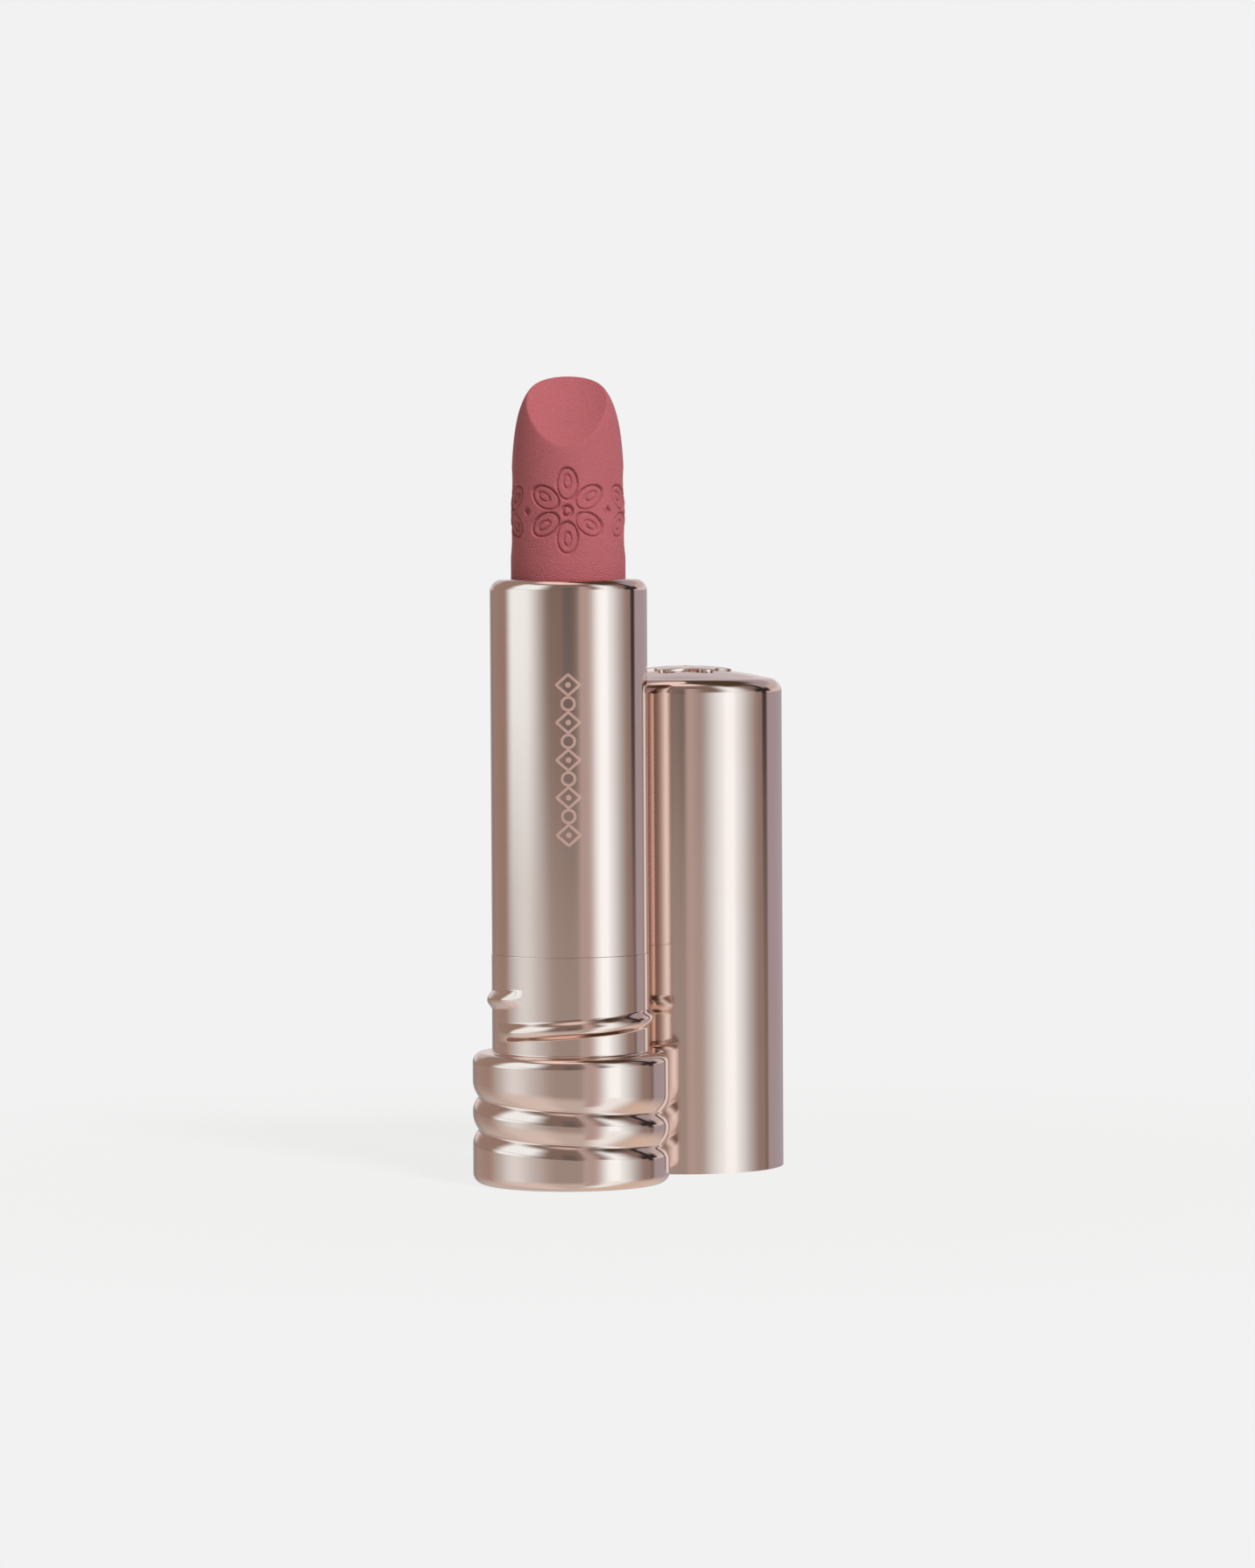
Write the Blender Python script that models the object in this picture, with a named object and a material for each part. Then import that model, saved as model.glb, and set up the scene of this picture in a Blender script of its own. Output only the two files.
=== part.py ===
"""Twist-up lipstick: case, swivel mechanism, bullet and cap, one object for each piece.

The case stands on its foot at the origin with its axis on +Z and the bullet fully out.
The cap stands upright on the same surface, behind the case and to its right.
"""
import math

import bmesh
import bpy
from mathutils import Matrix, Vector

MM = 0.001
SEGMENTS = 36                      # sides of every turned piece
TURN = 2 * math.pi

# Bullet: a 12.7 mm mould, ogive nose, hollow-ground slanted cut
BULLET_RADIUS = 6.33 * MM
BULLET_FOOT = 55.1 * MM
NOSE_LENGTH = 3.6 * MM             # how slowly the nose narrows
NOSE_APEX = 89.8 * MM              # where the uncut nose would close
NOSE_START = math.radians(88)      # the nose's outline runs from here, on the side, to 0 at the apex
NOSE_STEPS = 16
CUT_SLOPE = math.radians(44.0)
CUT_RADIUS = 10.6 * MM             # hollow of the cut, across its slope
CUT_TOE_HEIGHT = 81.3 * MM         # lowest point of the cut, at the front

# Base
BASE_RADIUS = 10.9 * MM
BASE_HEIGHT = 14.55 * MM
BASE_BORE = 9.05 * MM
BASE_FLOOR = 1.3 * MM
SHOULDER_ROUND = 1.4 * MM
FOOT_ROUND = 1.4 * MM
LABEL_RADIUS = 8.0 * MM
LABEL_THICKNESS = 0.15 * MM
LABEL_CLEARANCE = 0.1 * MM
BASE_WEIGHT_RADIUS, BASE_WEIGHT_LOW, BASE_WEIGHT_TOP = 7.6 * MM, 1.5 * MM, 4.6 * MM

# Left-handed groove that winds twice round the base
GROOVE_PITCH = 3.65 * MM
GROOVE_DEPTH = 0.65 * MM
GROOVE_TOP = 10.5 * MM             # height where it starts, at the back
GROOVE_START = math.radians(90)
GROOVE_TURNS = 2.0
GROOVE_FADE = math.radians(30)
GROOVE_UPPER_ROUND = 1.8 * MM
GROOVE_LOWER_ROUND = 1.3 * MM

# Neck with its right-handed thread ridge
NECK_RADIUS = 8.72 * MM
NECK_BORE = 7.85 * MM
NECK_FOOT = 4.9 * MM
NECK_TOP = 25.3 * MM
THREAD_PITCH = 3.65 * MM
THREAD_HEIGHT = 0.6 * MM
THREAD_HALF_WIDTH = 0.8 * MM
THREAD_START = math.radians(-157)
THREAD_TURNS = 1.09
THREAD_START_HEIGHT = 16.9 * MM
THREAD_FADE = math.radians(24)

# Swivel mechanism
TRAVEL = 24.0 * MM
CAM_TURNS = 2.0
LUG_HEIGHT_AT_REST = 53.4 * MM
LUG_WIDTH = 1.5 * MM
LUG_TALL = 1.6 * MM
LUG_REACH = 8.0 * MM
LUG_CLEARANCE = 0.4 * MM
CAM_SLOT_TALL = 2.6 * MM
CUP_FOOT, CUP_TOP = 52.0 * MM, 65.3 * MM
CUP_BORE, CUP_RADIUS = 6.5 * MM, 6.85 * MM
CUP_FLOOR_LOW, CUP_FLOOR_TOP = 54.4 * MM, 55.0 * MM
CUP_VENT = 1.5 * MM
GUIDE_BORE, GUIDE_RADIUS = 6.95 * MM, 7.45 * MM
GUIDE_TOP = 65.7 * MM
GUIDE_FOOT = 5.2 * MM
CAM_BORE, CAM_RADIUS = 7.55 * MM, 8.1 * MM
CAM_FOOT, CAM_TOP = 26.9 * MM, 57.0 * MM
WASHER_BORE, WASHER_RADIUS = 7.6 * MM, 8.15 * MM
WASHER_LOW, WASHER_TOP = 25.45 * MM, 25.85 * MM
BRAKE_RING_RADIUS, BRAKE_RING_HEIGHT = 7.82 * MM, 26.4 * MM
BRAKE_RING_THICKNESS = 0.56 * MM

# Upper tube that the user holds and turns
SHELL_RADIUS = 8.68 * MM
SHELL_BORE = 8.25 * MM
SHELL_FOOT, SHELL_TOP = 25.5 * MM, 66.8 * MM
LIP_ROUND = 1.25 * MM
LIP_BORE = 6.6 * MM
LIP_THICKNESS = 0.75 * MM
LIP_INNER_ROUND = 0.3 * MM

# Cap, beside the case
CAP_PLACE = (13.1 * MM, 17.8 * MM, 0.0)
CAP_RADIUS = 10.9 * MM
CAP_WALL = 0.65 * MM
CAP_ROUND = 1.6 * MM
CAP_SHOULDER = 53.9 * MM           # where the straight side ends
CAP_DOME_RISE = 1.15 * MM          # the top's crown above the rounded edge
LINER_GAP = 0.1 * MM
LINER_BORE = 9.45 * MM
LINER_CEILING = 53.2 * MM
LINER_TOP = 53.9 * MM
LINER_MOUTH = 0.3 * MM
LINER_RIDGE_DROP = 1.9 * MM        # from the neck's ridge down to the liner's, when closed
CAP_WEIGHT_RADIUS, CAP_WEIGHT_LOW, CAP_WEIGHT_TOP = 8.6 * MM, 54.0 * MM, 54.7 * MM
EMBLEM_RADIUS = 4.6 * MM
EMBLEM_LOBE = 0.6 * MM
EMBLEM_LOBES = 6
EMBLEM_THICKNESS = 0.3 * MM
FIT_GAP = 0.05 * MM

ROSE_GOLD = ((0.66, 0.50, 0.43), 0.18, 1.0)
STEEL = ((0.55, 0.56, 0.57), 0.35, 1.0)
IVORY_PLASTIC = ((0.82, 0.79, 0.72), 0.45, 0.0)
WHITE_PLASTIC = ((0.88, 0.88, 0.86), 0.4, 0.0)
BLACK_RUBBER = ((0.03, 0.03, 0.03), 0.6, 0.0)
PAPER = ((0.85, 0.83, 0.80), 0.7, 0.0)
ROSE_WAX = ((0.44, 0.12, 0.13), 0.65, 0.0)


def clear_scene():
    for item in list(bpy.data.objects):
        bpy.data.objects.remove(item, do_unlink=True)


def material(name, finish):
    colour, roughness, metallic = finish
    made = bpy.data.materials.new(name)
    made.use_nodes = True
    shader = made.node_tree.nodes["Principled BSDF"]
    shader.inputs["Base Color"].default_value = (*colour, 1.0)
    shader.inputs["Roughness"].default_value = roughness
    shader.inputs["Metallic"].default_value = metallic
    return made


def add_object(name, bm, finish):
    """Turn a bmesh into a named object, shaded smooth, with its own material."""
    bmesh.ops.recalc_face_normals(bm, faces=bm.faces)
    mesh = bpy.data.meshes.new(name)
    bm.to_mesh(mesh)
    bm.free()
    mesh.shade_smooth()
    mesh.set_sharp_from_angle(angle=math.radians(35))
    mesh.materials.append(material(name + "_finish", finish))
    made = bpy.data.objects.new(name, mesh)
    bpy.context.scene.collection.objects.link(made)
    return made


def arc(centre, radius, start, end, steps):
    """Points (r, z) on an arc; the angles are in degrees, from +r towards +z."""
    r, z = centre
    points = []
    for i in range(steps + 1):
        a = math.radians(start + (end - start) * i / steps)
        points.append((r + radius * math.cos(a), z + radius * math.sin(a)))
    return points


def rows(radius, start, end, count):
    """Evenly spaced points (r, z) up or down a straight side, both ends included."""
    return [(radius, start + (end - start) * i / count) for i in range(count + 1)]


def turned(outline, closed, relief=None):
    """Spin an outline of (r, z) points about Z. relief(angle, r, z) moves a point outwards.

    A closed outline makes a ring. An open one starts and ends on the axis.
    """
    bm = bmesh.new()
    ring = [bm.verts.new((r, 0, z)) for r, z in outline]
    pairs = list(zip(ring, ring[1:]))
    if closed:
        pairs.append((ring[-1], ring[0]))
    edges = [bm.edges.new(pair) for pair in pairs]
    bmesh.ops.spin(bm, geom=ring + edges, cent=(0, 0, 0), axis=(0, 0, 1),
                   angle=TURN, steps=SEGMENTS, use_merge=True)
    bmesh.ops.remove_doubles(bm, verts=bm.verts, dist=1e-7)
    if relief:
        for vert in bm.verts:
            r = math.hypot(vert.co.x, vert.co.y)
            angle = math.atan2(vert.co.y, vert.co.x)
            grown = r + relief(angle, r, vert.co.z)
            vert.co.x, vert.co.y = grown * math.cos(angle), grown * math.sin(angle)
    return bm


def fade(turned_by, span, length):
    """1 along a helix of the given span, easing to 0 within length of each end."""
    edge = min(turned_by, span - turned_by)
    if edge <= 0:
        return 0.0
    t = min(edge / length, 1.0)
    return t * t * (3 - 2 * t)


def helix_passes(angle, start, turns):
    """How far round a helix has turned each time it passes an angle."""
    first = (angle - start) % TURN
    return [first + TURN * k for k in range(int(turns) + 2) if first + TURN * k <= turns * TURN]


def groove_relief(angle, r, z):
    """Inward relief of the base's left-handed groove: a crease with rounded shoulders."""
    if r < BASE_RADIUS - 2 * GROOVE_DEPTH:
        return 0.0
    depth = 0.0
    for turned_by in helix_passes(angle, GROOVE_START, GROOVE_TURNS):
        above = z - (GROOVE_TOP - GROOVE_PITCH * turned_by / TURN)
        reach = GROOVE_UPPER_ROUND if above > 0 else GROOVE_LOWER_ROUND
        crease = max(0.0, 1 - abs(above) / reach) ** 2
        depth = max(depth, crease * fade(turned_by, GROOVE_TURNS * TURN, GROOVE_FADE))
    return -GROOVE_DEPTH * depth


def ridge_height(angle, z, start_height):
    """0 to 1 across the round back of a right-handed thread ridge."""
    height = 0.0
    for turned_by in helix_passes(angle, THREAD_START, THREAD_TURNS):
        off = abs(z - start_height - THREAD_PITCH * turned_by / TURN) / THREAD_HALF_WIDTH
        if off < 1:
            bump = math.sqrt(1 - off * off)
            height = max(height, bump * fade(turned_by, THREAD_TURNS * TURN, THREAD_FADE))
    return height


def neck_relief(angle, r, z):
    if r < NECK_RADIUS - FIT_GAP:
        return 0.0
    return THREAD_HEIGHT * ridge_height(angle, z, THREAD_START_HEIGHT)


def slotted_tube(bore, radius, foot, top, slots):
    """A tube whose slots are straight or follow a helix.

    Each slot is (first column, last column, centre height at its first column, rise for
    each column, height of the slot). Its ends lie on column edges.
    """
    corners = {}

    def heights_at(column):
        found = {foot, top}
        for first, last, low_centre, rise, tall in slots:
            for k in range(first, last + 1):
                if k % SEGMENTS == column % SEGMENTS:
                    centre = low_centre + rise * (k - first)
                    found |= {centre - tall / 2, centre + tall / 2}
        return sorted(found)

    bm = bmesh.new()

    def corner(column, z, r):
        key = (column % SEGMENTS, round(z, 9), r)
        if key not in corners:
            a = TURN * column / SEGMENTS
            corners[key] = bm.verts.new((r * math.cos(a), r * math.sin(a), z))
        return corners[key]

    def side(column, low, high):
        return [z for z in heights_at(column) if low - 1e-9 <= z <= high + 1e-9]

    def cut_edges(column):
        """The slots' (left low, left high, right low, right high) within one column."""
        found = []
        for first, last, low_centre, rise, tall in slots:
            for k in range(first, last):
                if k % SEGMENTS == column:
                    left = low_centre + rise * (k - first)
                    right = left + rise
                    found.append((left - tall / 2, left + tall / 2,
                                  right - tall / 2, right + tall / 2))
        return sorted(found)

    for column in range(SEGMENTS):
        cuts = cut_edges(column)
        lows = [(foot, foot)] + [(cut[1], cut[3]) for cut in cuts]
        highs = [(cut[0], cut[2]) for cut in cuts] + [(top, top)]
        for (left_low, right_low), (left_high, right_high) in zip(lows, highs):
            left = side(column, left_low, left_high)
            right = side(column + 1, right_low, right_high)
            for r in (bore, radius):
                loop = [corner(column, z, r) for z in left]
                loop += [corner(column + 1, z, r) for z in reversed(right)]
                bm.faces.new(loop)
            for left_z, right_z in ((left_low, right_low), (left_high, right_high)):
                bm.faces.new([corner(column, left_z, bore), corner(column + 1, right_z, bore),
                              corner(column + 1, right_z, radius), corner(column, left_z, radius)])

    for first, last, low_centre, rise, tall in slots:
        for column in (first, last):
            centre = low_centre + rise * (column - first)
            ends = side(column, centre - tall / 2, centre + tall / 2)
            for low, high in zip(ends, ends[1:]):
                bm.faces.new([corner(column, low, bore), corner(column, high, bore),
                              corner(column, high, radius), corner(column, low, radius)])
    return bm


def box_cutter(name, size, centre):
    bm = bmesh.new()
    bmesh.ops.create_cube(bm, size=1.0, matrix=Matrix.Diagonal((*size, 1.0)))
    mesh = bpy.data.meshes.new(name)
    bm.to_mesh(mesh)
    bm.free()
    made = bpy.data.objects.new(name, mesh)
    made.location = centre
    return as_cutter(made)


def as_cutter(made):
    bpy.context.scene.collection.objects.link(made)
    made.hide_render = True
    made.display_type = 'WIRE'
    return made


def combine(target, tool, operation):
    change = target.modifiers.new(operation.title(), 'BOOLEAN')
    change.operation = operation
    change.object = tool
    change.solver = 'EXACT'


# ---- base body: stays still in the hand that holds the foot ----

def make_base_shell():
    """Metallised cup with the winding groove, a recess underneath for the label."""
    recess, well = LABEL_THICKNESS + LABEL_CLEARANCE, LABEL_RADIUS + LABEL_CLEARANCE
    outline = [(0, recess), (well, recess), (well, 0)]
    outline += arc((BASE_RADIUS - FOOT_ROUND, FOOT_ROUND), FOOT_ROUND, -90, 0, 4)
    shoulder_foot = BASE_HEIGHT - SHOULDER_ROUND
    outline += rows(BASE_RADIUS, FOOT_ROUND, shoulder_foot, 24)[1:-1]
    outline += arc((BASE_RADIUS - SHOULDER_ROUND, shoulder_foot), SHOULDER_ROUND, 0, 90, 4)
    outline += [(BASE_BORE, BASE_HEIGHT), (BASE_BORE, BASE_FLOOR), (0, BASE_FLOOR)]
    return add_object("base_shell", turned(outline, False, groove_relief), ROSE_GOLD)


def make_disc(name, radius, low, high, finish):
    outline = [(0, low), (radius, low), (radius, high), (0, high)]
    return add_object(name, turned(outline, False), finish)


def make_neck_collar():
    """Threaded neck that rises out of the base; its thread holds the cap."""
    ridge_low = THREAD_START_HEIGHT - THREAD_HALF_WIDTH
    ridge_high = THREAD_START_HEIGHT + THREAD_TURNS * THREAD_PITCH + THREAD_HALF_WIDTH
    outline = [(NECK_BORE, NECK_FOOT), (NECK_RADIUS, NECK_FOOT)]
    outline += rows(NECK_RADIUS, ridge_low, ridge_high, 15)
    outline += [(NECK_RADIUS, NECK_TOP), (NECK_BORE, NECK_TOP)]
    return add_object("neck_collar", turned(outline, True, neck_relief), ROSE_GOLD)


def make_inner_body():
    """Guide tube with two straight slots; the cup's lugs run up and down in them."""
    low = LUG_HEIGHT_AT_REST - TRAVEL - LUG_TALL / 2 - LUG_CLEARANCE
    high = LUG_HEIGHT_AT_REST + LUG_TALL / 2 + LUG_CLEARANCE
    slots = [(first, first + 2, (low + high) / 2, 0.0, high - low)
             for first in (-1, SEGMENTS // 2 - 1)]
    tube = slotted_tube(GUIDE_BORE, GUIDE_RADIUS, GUIDE_FOOT, GUIDE_TOP, slots)
    return add_object("inner_body", tube, IVORY_PLASTIC)


def make_brake_ring():
    """Rubber ring that gives the twist its drag."""
    outline = arc((BRAKE_RING_RADIUS, BRAKE_RING_HEIGHT), BRAKE_RING_THICKNESS / 2, 0, 360, 8)[:-1]
    return add_object("brake_ring", turned(outline, True), BLACK_RUBBER)


def make_glide_washer():
    """Thin ring that the upper tube turns on."""
    outline = [(WASHER_BORE, WASHER_LOW), (WASHER_RADIUS, WASHER_LOW),
               (WASHER_RADIUS, WASHER_TOP), (WASHER_BORE, WASHER_TOP)]
    return add_object("glide_washer", turned(outline, True), WHITE_PLASTIC)


# ---- shell body: the upper tube and the cam inside it, turned against the base ----

def make_a_shell():
    foot, top = SHELL_FOOT, SHELL_TOP
    outline = [(SHELL_BORE, foot), (SHELL_RADIUS, foot)]
    outline += arc((SHELL_RADIUS - LIP_ROUND, top - LIP_ROUND), LIP_ROUND, 0, 90, 5)
    inner = LIP_INNER_ROUND
    outline += arc((LIP_BORE + inner, top - inner), inner, 90, 180, 3)
    outline += [(LIP_BORE, top - LIP_THICKNESS), (SHELL_BORE, top - LIP_THICKNESS)]
    return add_object("a_shell", turned(outline, True), ROSE_GOLD)


def make_spiral_cam():
    """Tube with two right-handed helical slots; turning it drives the lugs along."""
    steps = round(CAM_TURNS * SEGMENTS)
    rise = TRAVEL / steps
    low_centre = LUG_HEIGHT_AT_REST - TRAVEL - rise
    slots = [(first - 1, first + steps + 1, low_centre, rise, CAM_SLOT_TALL)
             for first in (0, SEGMENTS // 2)]
    tube = slotted_tube(CAM_BORE, CAM_RADIUS, CAM_FOOT, CAM_TOP, slots)
    return add_object("spiral_cam", tube, WHITE_PLASTIC)


# ---- carrier body: the cup and the bullet it holds ----

def make_cup():
    """Cup that grips the bullet's foot; its lugs reach through the guide into the cam."""
    outline = [(CUP_RADIUS, CUP_FOOT), (CUP_RADIUS, CUP_TOP), (CUP_BORE, CUP_TOP),
               (CUP_BORE, CUP_FLOOR_TOP), (CUP_VENT, CUP_FLOOR_TOP), (CUP_VENT, CUP_FLOOR_LOW),
               (CUP_BORE, CUP_FLOOR_LOW), (CUP_BORE, CUP_FOOT)]
    cup = add_object("cup", turned(outline, True), WHITE_PLASTIC)
    root = (CUP_BORE + CUP_RADIUS) / 2
    for side, name in ((1, "lug_right"), (-1, "lug_left")):
        size = (LUG_REACH - root, LUG_WIDTH, LUG_TALL)
        centre = Vector((side * (LUG_REACH + root) / 2, 0, LUG_HEIGHT_AT_REST))
        combine(cup, box_cutter(name, size, centre), 'UNION')
    return cup


def nose_radius(z):
    return BULLET_RADIUS * math.sqrt(1 - math.exp((z - NOSE_APEX) / NOSE_LENGTH))


def nose_point(t):
    """Point (r, z) on the same nose where its radius is the bullet's times sin t."""
    return (BULLET_RADIUS * math.sin(t), NOSE_APEX + 2 * NOSE_LENGTH * math.log(math.cos(t)))


def make_bullet():
    """Moulded stick of colour with an ogive nose and a hollow slanted cut at the front."""
    outline = [(0, BULLET_FOOT), (BULLET_RADIUS, BULLET_FOOT)]
    outline += [nose_point(NOSE_START * (1 - i / NOSE_STEPS)) for i in range(NOSE_STEPS)]
    outline += [(0, NOSE_APEX)]
    bullet = add_object("bullet", turned(outline, False), ROSE_WAX)
    combine(bullet, make_cut_tool(), 'DIFFERENCE')
    return bullet


def make_cut_tool():
    """Cylinder lying along the cut's slope; it hollows the cut across its width."""
    bm = bmesh.new()
    bmesh.ops.create_cone(bm, cap_ends=True, segments=72, radius1=CUT_RADIUS,
                          radius2=CUT_RADIUS, depth=40 * MM)
    mesh = bpy.data.meshes.new("bullet_cut_tool")
    bm.to_mesh(mesh)
    bm.free()
    made = bpy.data.objects.new("bullet_cut_tool", mesh)
    up_slope = Vector((0, math.cos(CUT_SLOPE), math.sin(CUT_SLOPE)))
    off_slope = Vector((0, -math.sin(CUT_SLOPE), math.cos(CUT_SLOPE)))
    toe = Vector((0, -nose_radius(CUT_TOE_HEIGHT), CUT_TOE_HEIGHT))
    made.rotation_mode = 'QUATERNION'
    made.rotation_quaternion = up_slope.to_track_quat('Z', 'X')
    made.location = toe + off_slope * CUT_RADIUS
    return as_cutter(made)


# ---- cap body: lifts off upwards; every piece hangs on the cap's own axis ----

def dome_height(r):
    """Height of the cap's crowned top at a radius inside its rounded edge."""
    flat = CAP_RADIUS - CAP_ROUND
    return CAP_SHOULDER + CAP_ROUND + CAP_DOME_RISE * (1 - (r / flat) ** 2)


def make_cap_shell():
    flat = CAP_RADIUS - CAP_ROUND
    inner = CAP_RADIUS - CAP_WALL
    outline = [(0, dome_height(0))] + [(flat * i / 4, dome_height(flat * i / 4)) for i in (1, 2, 3)]
    outline += arc((flat, CAP_SHOULDER), CAP_ROUND, 90, 0, 5)
    outline += [(CAP_RADIUS, 0), (inner, 0), (inner, CAP_SHOULDER)]
    outline += [(flat - CAP_WALL, dome_height(flat) - CAP_WALL), (0, dome_height(flat) - CAP_WALL)]
    return add_object("cap_shell", turned(outline, False), ROSE_GOLD)


def make_cap_liner():
    """Plain inner cap; a ridge inside its mouth hooks under the neck's thread."""
    start = THREAD_START_HEIGHT - LINER_RIDGE_DROP - BASE_HEIGHT + THREAD_PITCH / 2
    radius = CAP_RADIUS - CAP_WALL - LINER_GAP
    low = start - THREAD_HALF_WIDTH
    high = start + THREAD_TURNS * THREAD_PITCH + THREAD_HALF_WIDTH

    def relief(angle, r, z):
        if abs(r - LINER_BORE) > FIT_GAP:
            return 0.0
        return -THREAD_HEIGHT * ridge_height(angle, z, start)

    outline = [(0, LINER_TOP), (radius, LINER_TOP), (radius, LINER_MOUTH), (LINER_BORE, LINER_MOUTH)]
    outline += rows(LINER_BORE, low, high, 12)
    outline += [(LINER_BORE, LINER_CEILING), (0, LINER_CEILING)]
    return add_object("cap_liner", turned(outline, False, relief), IVORY_PLASTIC)


def make_cap_emblem():
    """Small six-lobed badge that follows the cap's dome."""
    bm = bmesh.new()
    rings = 4
    centres, loops = [], []
    for lift in (FIT_GAP, EMBLEM_THICKNESS):
        centres.append(bm.verts.new((0, 0, dome_height(0) + lift)))
        layer = []
        for ring in range(1, rings + 1):
            loop = []
            for i in range(SEGMENTS):
                a = TURN * i / SEGMENTS
                r = (EMBLEM_RADIUS + EMBLEM_LOBE * math.cos(EMBLEM_LOBES * a)) * ring / rings
                loop.append(bm.verts.new((r * math.cos(a), r * math.sin(a), dome_height(r) + lift)))
            layer.append(loop)
        loops.append(layer)
    for centre, layer in zip(centres, loops):
        for i in range(SEGMENTS):
            j = (i + 1) % SEGMENTS
            bm.faces.new([centre, layer[0][i], layer[0][j]])
            for inside, outside in zip(layer, layer[1:]):
                bm.faces.new([inside[i], outside[i], outside[j], inside[j]])
    for i in range(SEGMENTS):
        j = (i + 1) % SEGMENTS
        bm.faces.new([loops[0][-1][i], loops[0][-1][j], loops[1][-1][j], loops[1][-1][i]])
    return add_object("cap_emblem", bm, ROSE_GOLD)


def group(name, place, members):
    """Parent a body's pieces to an empty on its axis."""
    axis = bpy.data.objects.new(name, None)
    axis.location = place
    bpy.context.scene.collection.objects.link(axis)
    for member in members:
        member.parent = axis


def build():
    clear_scene()
    group("base_axis", (0, 0, 0), [
        make_base_shell(),
        make_disc("shade_label", LABEL_RADIUS, 0, LABEL_THICKNESS, PAPER),
        make_disc("base_weight", BASE_WEIGHT_RADIUS, BASE_WEIGHT_LOW, BASE_WEIGHT_TOP, STEEL),
        make_neck_collar(),
        make_inner_body(),
        make_glide_washer(),
        make_brake_ring(),
    ])
    group("twist_axis", (0, 0, 0), [make_a_shell(), make_spiral_cam()])
    group("lift_axis", (0, 0, 0), [make_cup(), make_bullet()])
    group("cap_axis", CAP_PLACE, [
        make_cap_shell(),
        make_cap_liner(),
        make_disc("cap_weight", CAP_WEIGHT_RADIUS, CAP_WEIGHT_LOW, CAP_WEIGHT_TOP, STEEL),
        make_cap_emblem(),
    ])


build()
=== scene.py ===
"""Twist-up lipstick in a champagne rose-gold case, bullet out, its cap standing beside it."""
import math

import bmesh
import bpy
import numpy as np
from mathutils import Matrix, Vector


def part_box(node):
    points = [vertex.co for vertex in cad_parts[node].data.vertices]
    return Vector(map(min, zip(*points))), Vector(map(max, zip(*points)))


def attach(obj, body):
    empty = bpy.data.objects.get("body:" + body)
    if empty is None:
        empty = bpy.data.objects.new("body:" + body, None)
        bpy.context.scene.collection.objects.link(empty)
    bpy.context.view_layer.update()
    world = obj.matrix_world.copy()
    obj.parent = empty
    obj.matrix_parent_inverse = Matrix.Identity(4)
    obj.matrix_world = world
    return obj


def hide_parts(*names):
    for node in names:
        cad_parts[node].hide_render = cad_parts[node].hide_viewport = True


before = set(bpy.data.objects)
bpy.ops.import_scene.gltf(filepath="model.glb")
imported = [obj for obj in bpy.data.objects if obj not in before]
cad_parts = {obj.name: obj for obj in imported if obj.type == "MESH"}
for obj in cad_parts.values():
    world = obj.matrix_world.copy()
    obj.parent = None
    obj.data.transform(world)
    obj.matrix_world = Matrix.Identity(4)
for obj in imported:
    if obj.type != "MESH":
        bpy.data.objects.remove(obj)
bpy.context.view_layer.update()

MM = 0.001
TURN = 2 * math.pi
FINE = 256                          # sides of a turned piece
WELD, FINE_WELD = 0.001 * MM, 0.0001 * MM       # how near points merge; the foil is the fine one

# ---------------------------------------------------------------- sizes
#
# What a node's box gives is read from the frame; the rest is the case's own, inside those boxes.


def radius_of(node):
    low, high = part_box(node)
    return (high.x - low.x) / 2


def floor_of(node):
    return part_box(node)[0].z


def top_of(node):
    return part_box(node)[1].z


BASE_RADIUS, BASE_HEIGHT = radius_of("base_shell"), top_of("base_shell")
BASE_BORE, BASE_FLOOR = 9.05 * MM, 1.3 * MM
BASE_SEAT = 0.6 * MM                # depth of the shoulder's inner edge, beside the neck
SHOULDER_ROUND, FOOT_ROUND = 1.15 * MM, 1.15 * MM
LABEL_RADIUS, LABEL_THICKNESS = radius_of("shade_label"), top_of("shade_label")
LABEL_RECESS, LABEL_CLEARANCE = 0.25 * MM, 0.1 * MM
NECK_SWEEP = 0.2 * MM               # the shoulder sweeps up a little where it meets the neck

GROOVE_PITCH, GROOVE_DEPTH = 3.65 * MM, 0.65 * MM
GROOVE_TOP, GROOVE_START = 10.5 * MM, math.radians(90)
GROOVE_TURNS, GROOVE_FADE = 2.0, math.radians(30)
GROOVE_UPPER_ROUND, GROOVE_LOWER_ROUND = 1.8 * MM, 1.45 * MM
CREASE_ROUND = 0.09 * MM            # softness of the groove's bottom

NECK_RADIUS, NECK_BORE, NECK_FOOT = 8.72 * MM, 7.85 * MM, floor_of("neck_collar")
THREAD_PITCH, THREAD_HEIGHT, THREAD_HALF_WIDTH = 3.65 * MM, 0.53 * MM, 0.8 * MM
THREAD_FOOT_WIDTH = 1.05 * MM       # half the ridge's width with the sweep at its foot
THREAD_MARGIN = 1.4 * THREAD_HALF_WIDTH     # how far the fine rows run past the ridge
THREAD_START, THREAD_TURNS = math.radians(-157), 1.09
THREAD_START_HEIGHT, THREAD_FADE = 16.9 * MM, math.radians(24)
GROOVE_ROWS, THREAD_ROWS, LINER_ROWS = 280, 140, 60     # rows of faces that carry each relief

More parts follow.
